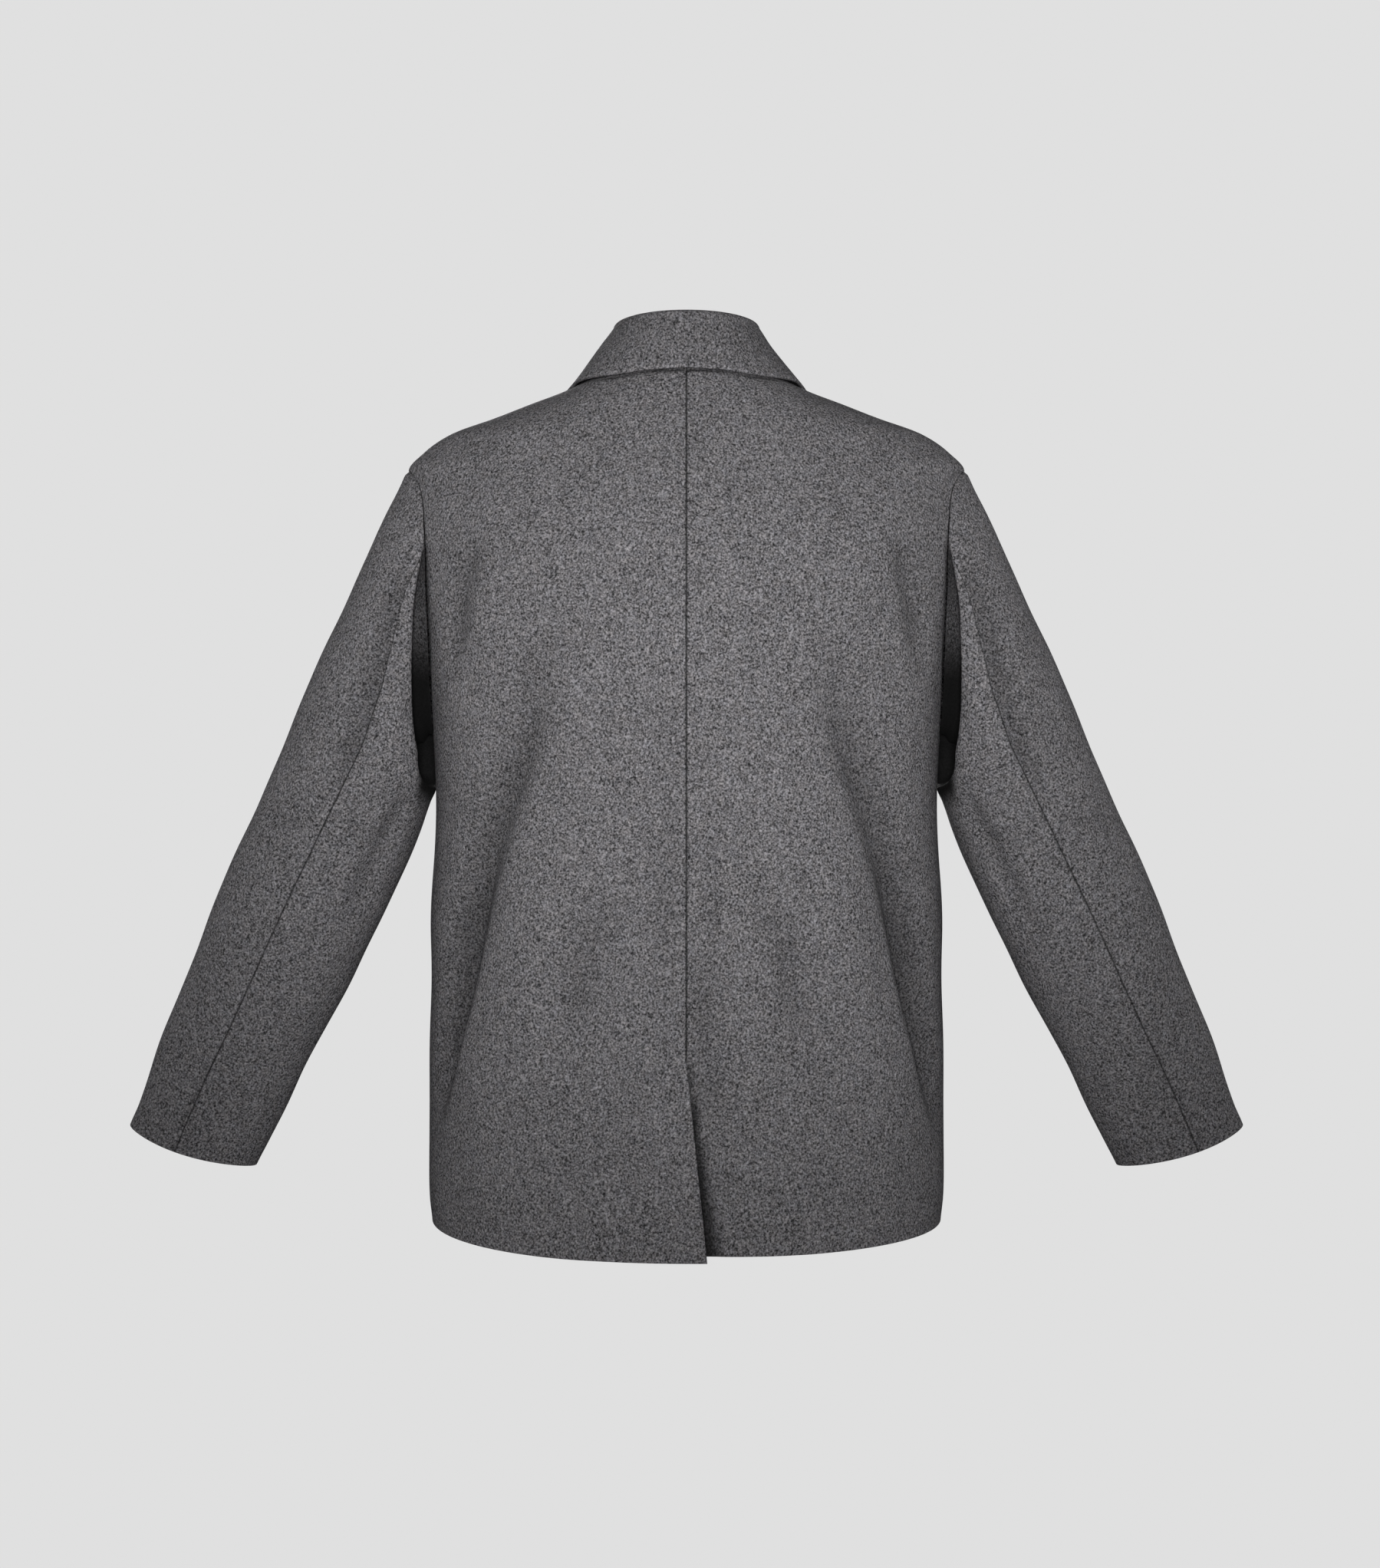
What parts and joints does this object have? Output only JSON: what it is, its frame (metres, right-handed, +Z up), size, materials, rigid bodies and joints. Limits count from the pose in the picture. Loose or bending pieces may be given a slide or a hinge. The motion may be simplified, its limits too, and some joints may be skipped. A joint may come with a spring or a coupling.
{
  "type": "overshirt",
  "caption": "Boxy fulled-wool overshirt in its worn form, hollow: two-piece sleeves, turned-down collar, buttoned front and a centre back vent.",
  "frame": {"origin": "middle of the neck opening, level with the neck points, where the wearer's shoulders carry the garment", "axes": "+Z up the worn garment, +X towards the wearer's left, the buttoned front faces -Y"},
  "size_m": [0.911, 0.2871, 0.7384],
  "materials": {
    "wool": "fulled charcoal melange wool, short nap, no shine",
    "buttons": "dark horn-like, satin"
  },
  "bodies": {
    "root": {"back_left": "wool", "back_right": "wool", "front_left": "wool", "front_right": "wool", "top_sleeve_left": "wool", "top_sleeve_right": "wool", "under_sleeve_left": "wool", "under_sleeve_right": "wool", "collar_stand": "wool", "collar_fall": "wool", "button_1": "buttons", "button_2": "buttons", "button_3": "buttons", "button_4": "buttons", "button_5": "buttons"}
  },
  "joints": []
}
